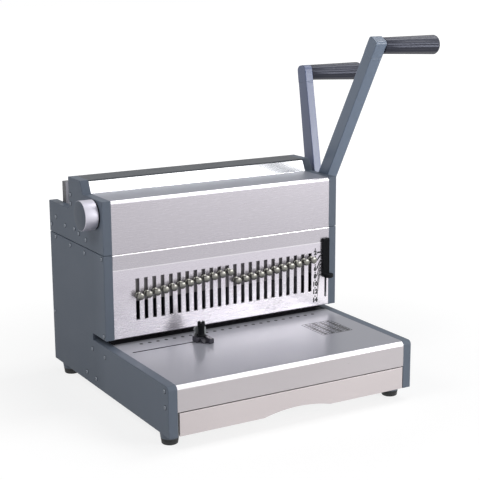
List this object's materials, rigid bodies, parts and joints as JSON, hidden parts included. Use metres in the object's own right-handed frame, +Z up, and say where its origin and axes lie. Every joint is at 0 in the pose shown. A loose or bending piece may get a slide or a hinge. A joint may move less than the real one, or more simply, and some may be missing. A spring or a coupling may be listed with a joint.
{
  "type": "wire binding machine",
  "caption": "Desk machine that punches a row of holes along a sheet's edge and presses a wire spine shut: two side levers, paper table, throat, pull pins, closing trough and chip drawer.",
  "frame": {"origin": "centre of the whole machine's footprint box, on the floor under the feet", "axes": "+Z up; +Y from the paper table to the back; +X to the side with the levers"},
  "size_m": [0.5242, 0.3752, 0.4919],
  "materials": {
    "slate_paint": "satin powder coat",
    "silver_panel": "brushed, clear anodised",
    "table_paint": "satin silver paint",
    "drawer_paint": "satin silver paint",
    "bright_strip": "polished",
    "dark_ridge": "satin dark grey paint",
    "steel": "ground",
    "tool_steel": "ground and oiled",
    "zinc_plate": "zinc plated",
    "pin_chrome": "turned and plated",
    "screw_steel": "zinc plated",
    "arm_paint": "satin powder coat",
    "grip_plastic": "fine satin, fluted",
    "black_plastic": "satin",
    "knob_metal": "turned",
    "bronze": "plain sintered",
    "foot_rubber": "matt",
    "spring_steel": "drawn wire"
  },
  "bodies": {
    "root": {"left_lower_cover": "slate_paint", "right_lower_cover": "slate_paint", "left_upper_cover": "slate_paint", "right_upper_cover": "slate_paint", "cover_screws": "screw_steel", "left_side_frame": "zinc_plate", "right_side_frame": "zinc_plate", "base_plate": "zinc_plate", "feet": "foot_rubber", "rear_panel": "slate_paint", "tie_bars": "steel", "paper_table": "table_paint", "die_block": "tool_steel", "punch_guide": "tool_steel", "paper_stop": "steel", "slot_panel": "silver_panel", "front_panel": "silver_panel", "ridge_face": "bright_strip", "ridge_cover": "dark_ridge", "closing_anvil": "steel", "shaft_bushes": "bronze", "return_springs": "spring_steel"},
    "punch_lever": {"punch_shaft": "steel", "punch_arm": "arm_paint", "punch_grip": "grip_plastic"},
    "punch_bar": {"punch_bar": "steel", "punches": "tool_steel"},
    "closing_lever": {"closing_shaft": "steel", "closing_arm": "arm_paint", "closing_grip": "grip_plastic"},
    "closing_press": {"closing_press": "steel"},
    "size_adjuster": {"adjuster_knob": "knob_metal", "adjuster_spindle": "steel"},
    "chip_drawer": {"chip_drawer": "drawer_paint"},
    "edge_guide": {"edge_guide": "black_plastic"},
    "guide_knob": {"guide_knob": "black_plastic"},
    "size_slider": {"size_slider": "black_plastic"},
    "pull_pin_01": {"pull_pin_01": "pin_chrome"},
    "pull_pin_02": {"pull_pin_02": "pin_chrome"},
    "pull_pin_03": {"pull_pin_03": "pin_chrome"},
    "pull_pin_04": {"pull_pin_04": "pin_chrome"},
    "pull_pin_05": {"pull_pin_05": "pin_chrome"},
    "pull_pin_06": {"pull_pin_06": "pin_chrome"},
    "pull_pin_07": {"pull_pin_07": "pin_chrome"},
    "pull_pin_08": {"pull_pin_08": "pin_chrome"},
    "pull_pin_09": {"pull_pin_09": "pin_chrome"},
    "pull_pin_10": {"pull_pin_10": "pin_chrome"},
    "pull_pin_11": {"pull_pin_11": "pin_chrome"},
    "pull_pin_12": {"pull_pin_12": "pin_chrome"},
    "pull_pin_13": {"pull_pin_13": "pin_chrome"},
    "pull_pin_14": {"pull_pin_14": "pin_chrome"},
    "pull_pin_15": {"pull_pin_15": "pin_chrome"},
    "pull_pin_16": {"pull_pin_16": "pin_chrome"},
    "pull_pin_17": {"pull_pin_17": "pin_chrome"},
    "pull_pin_18": {"pull_pin_18": "pin_chrome"},
    "pull_pin_19": {"pull_pin_19": "pin_chrome"},
    "pull_pin_20": {"pull_pin_20": "pin_chrome"},
    "pull_pin_21": {"pull_pin_21": "pin_chrome"},
    "pull_pin_22": {"pull_pin_22": "pin_chrome"},
    "pull_pin_23": {"pull_pin_23": "pin_chrome"}
  },
  "joints": [
    {"name": "punch_lever_turn", "type": "hinge", "parent": "root", "child": "punch_lever", "pos_m": [0.13425, 0.0645, 0.235], "axis": [1, 0, 0], "range_deg": [0, 73], "stiffness_Nm_per_rad": 1.5, "springref_deg": -51.57},
    {"name": "punch_bar_slide", "type": "slide", "parent": "root", "child": "punch_bar", "axis": [0, 0, -1], "range_m": [0, 0.02813], "deforming": ["return_springs"]},
    {"name": "closing_lever_turn", "type": "hinge", "parent": "root", "child": "closing_lever", "pos_m": [0.15475, 0.0945, 0.231], "axis": [1, 0, 0], "range_deg": [0, 66], "stiffness_Nm_per_rad": 0.5, "springref_deg": -34.38},
    {"name": "closing_press_slide", "type": "slide", "parent": "root", "child": "closing_press", "axis": [0, 1, 0], "range_m": [0, 0.01824]},
    {"name": "size_adjuster_turn", "type": "hinge", "parent": "root", "child": "size_adjuster", "pos_m": [-0.24135, 0.0238, 0.2637], "axis": [-1, 0, 0], "range_deg": [0, 270]},
    {"name": "chip_drawer_slide", "type": "slide", "parent": "root", "child": "chip_drawer", "axis": [0, -1, 0], "range_m": [0, 0.15]},
    {"name": "edge_guide_slide", "type": "slide", "parent": "root", "child": "edge_guide", "axis": [-1, 0, 0], "range_m": [0, 0.095]},
    {"name": "guide_knob_turn", "type": "hinge", "parent": "edge_guide", "child": "guide_knob", "pos_m": [-0.11655, -0.0426, 0.094], "axis": [0, 0, 1], "range_deg": [0, 180]},
    {"name": "size_slider_slide", "type": "slide", "parent": "root", "child": "size_slider", "axis": [0, 0, -1], "range_m": [0, 0.025]},
    {"name": "pull_pin_01_pull", "type": "slide", "parent": "punch_bar", "child": "pull_pin_01", "axis": [0, -1, 0], "range_m": [0, 0.008]},
    {"name": "pull_pin_02_pull", "type": "slide", "parent": "punch_bar", "child": "pull_pin_02", "axis": [0, -1, 0], "range_m": [0, 0.008]},
    {"name": "pull_pin_03_pull", "type": "slide", "parent": "punch_bar", "child": "pull_pin_03", "axis": [0, -1, 0], "range_m": [0, 0.008]},
    {"name": "pull_pin_04_pull", "type": "slide", "parent": "punch_bar", "child": "pull_pin_04", "axis": [0, -1, 0], "range_m": [0, 0.008]},
    {"name": "pull_pin_05_pull", "type": "slide", "parent": "punch_bar", "child": "pull_pin_05", "axis": [0, -1, 0], "range_m": [0, 0.008]},
    {"name": "pull_pin_06_pull", "type": "slide", "parent": "punch_bar", "child": "pull_pin_06", "axis": [0, -1, 0], "range_m": [0, 0.008]},
    {"name": "pull_pin_07_pull", "type": "slide", "parent": "punch_bar", "child": "pull_pin_07", "axis": [0, -1, 0], "range_m": [0, 0.008]},
    {"name": "pull_pin_08_pull", "type": "slide", "parent": "punch_bar", "child": "pull_pin_08", "axis": [0, -1, 0], "range_m": [0, 0.008]},
    {"name": "pull_pin_09_pull", "type": "slide", "parent": "punch_bar", "child": "pull_pin_09", "axis": [0, -1, 0], "range_m": [0, 0.008]},
    {"name": "pull_pin_10_pull", "type": "slide", "parent": "punch_bar", "child": "pull_pin_10", "axis": [0, -1, 0], "range_m": [0, 0.008]},
    {"name": "pull_pin_11_pull", "type": "slide", "parent": "punch_bar", "child": "pull_pin_11", "axis": [0, -1, 0], "range_m": [0, 0.008]},
    {"name": "pull_pin_12_pull", "type": "slide", "parent": "punch_bar", "child": "pull_pin_12", "axis": [0, -1, 0], "range_m": [0, 0.008]},
    {"name": "pull_pin_13_pull", "type": "slide", "parent": "punch_bar", "child": "pull_pin_13", "axis": [0, -1, 0], "range_m": [0, 0.008]},
    {"name": "pull_pin_14_pull", "type": "slide", "parent": "punch_bar", "child": "pull_pin_14", "axis": [0, -1, 0], "range_m": [0, 0.008]},
    {"name": "pull_pin_15_pull", "type": "slide", "parent": "punch_bar", "child": "pull_pin_15", "axis": [0, -1, 0], "range_m": [0, 0.008]},
    {"name": "pull_pin_16_pull", "type": "slide", "parent": "punch_bar", "child": "pull_pin_16", "axis": [0, -1, 0], "range_m": [0, 0.008]},
    {"name": "pull_pin_17_pull", "type": "slide", "parent": "punch_bar", "child": "pull_pin_17", "axis": [0, -1, 0], "range_m": [0, 0.008]},
    {"name": "pull_pin_18_pull", "type": "slide", "parent": "punch_bar", "child": "pull_pin_18", "axis": [0, -1, 0], "range_m": [0, 0.008]},
    {"name": "pull_pin_19_pull", "type": "slide", "parent": "punch_bar", "child": "pull_pin_19", "axis": [0, -1, 0], "range_m": [0, 0.008]},
    {"name": "pull_pin_20_pull", "type": "slide", "parent": "punch_bar", "child": "pull_pin_20", "axis": [0, -1, 0], "range_m": [0, 0.008]},
    {"name": "pull_pin_21_pull", "type": "slide", "parent": "punch_bar", "child": "pull_pin_21", "axis": [0, -1, 0], "range_m": [0, 0.008]},
    {"name": "pull_pin_22_pull", "type": "slide", "parent": "punch_bar", "child": "pull_pin_22", "axis": [0, -1, 0], "range_m": [0, 0.008]},
    {"name": "pull_pin_23_pull", "type": "slide", "parent": "punch_bar", "child": "pull_pin_23", "axis": [0, -1, 0], "range_m": [0, 0.008]}
  ],
  "couplings": [
    {"joint": "punch_bar_slide", "follows": "punch_lever_turn", "m_per_rad": 0.022},
    {"joint": "closing_press_slide", "follows": "closing_lever_turn", "m_per_rad": 0.01575}
  ]
}
